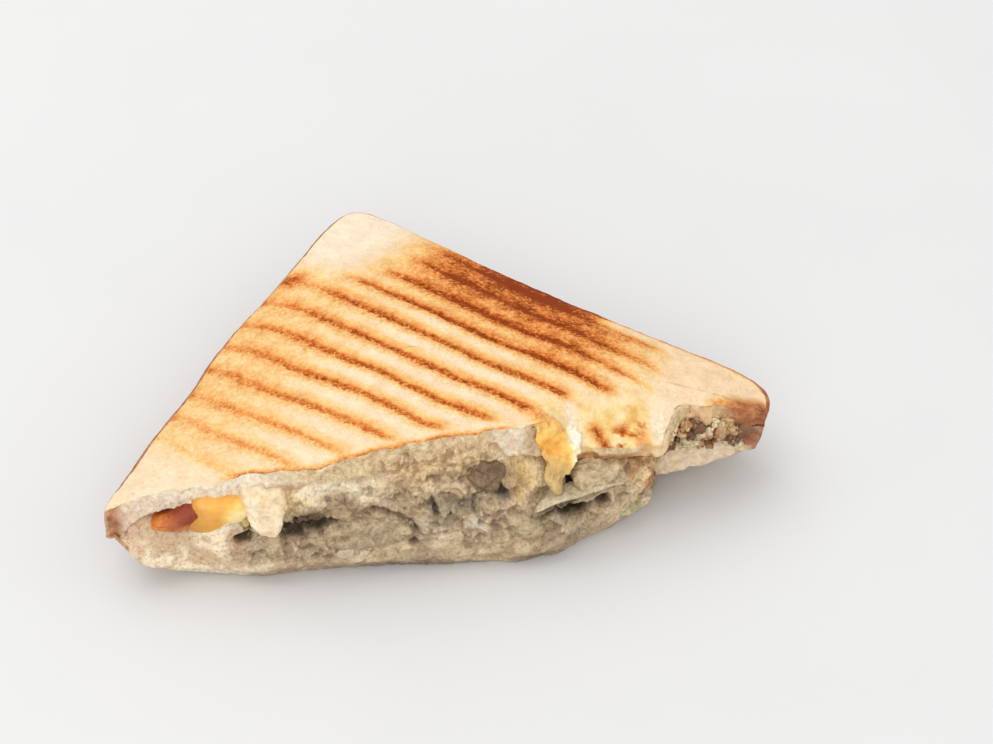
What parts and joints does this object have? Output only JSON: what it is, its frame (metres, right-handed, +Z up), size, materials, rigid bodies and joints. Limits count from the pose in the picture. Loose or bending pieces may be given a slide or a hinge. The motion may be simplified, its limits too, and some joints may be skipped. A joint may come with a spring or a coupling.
{
  "type": "half of a toasted chicken mushroom club sandwich",
  "caption": "Corner-cut half of a grilled club sandwich: toasted bread slices in a triangular stack, with creamy chicken and mushroom filling bulging out of the cut.",
  "frame": {"origin": "middle of the box round the half at the height of the surface it lies on", "axes": "+X along the cut from the left tip to the right tip, the cut faces -Y, the uncut corner points to +Y, +Z up"},
  "size_m": [0.1458, 0.091, 0.0315],
  "materials": {
    "grilled_bread": "dry toasted crumb with browned grill stripes",
    "toasted_bread": "dry toasted crumb",
    "soft_bread": "soft white crumb with a pale crust",
    "creamy_filling": "moist lumpy mushroom sauce",
    "cheese": "soft melted cheese, slight sheen",
    "tomato": "moist cooked piece",
    "chicken": "fibrous cooked meat, moist",
    "dark_mushroom": "moist cooked mushroom",
    "mushroom": "moist sliced mushroom",
    "lettuce": "wilted pale green leaf"
  },
  "bodies": {
    "root": {"bread_bottom": "toasted_bread", "bread_middle": "soft_bread", "bread_top": "grilled_bread", "filling": "creamy_filling", "melted_cheese": "cheese", "cheese_fold_left": "cheese", "tomato_piece": "tomato", "chicken_chunk_left": "chicken", "chicken_chunk_right": "chicken", "mushroom_dark_left": "dark_mushroom", "mushroom_dark_centre": "dark_mushroom", "mushroom_cap_slice": "mushroom", "mushroom_sliver": "mushroom", "lettuce_piece": "lettuce"}
  },
  "joints": []
}
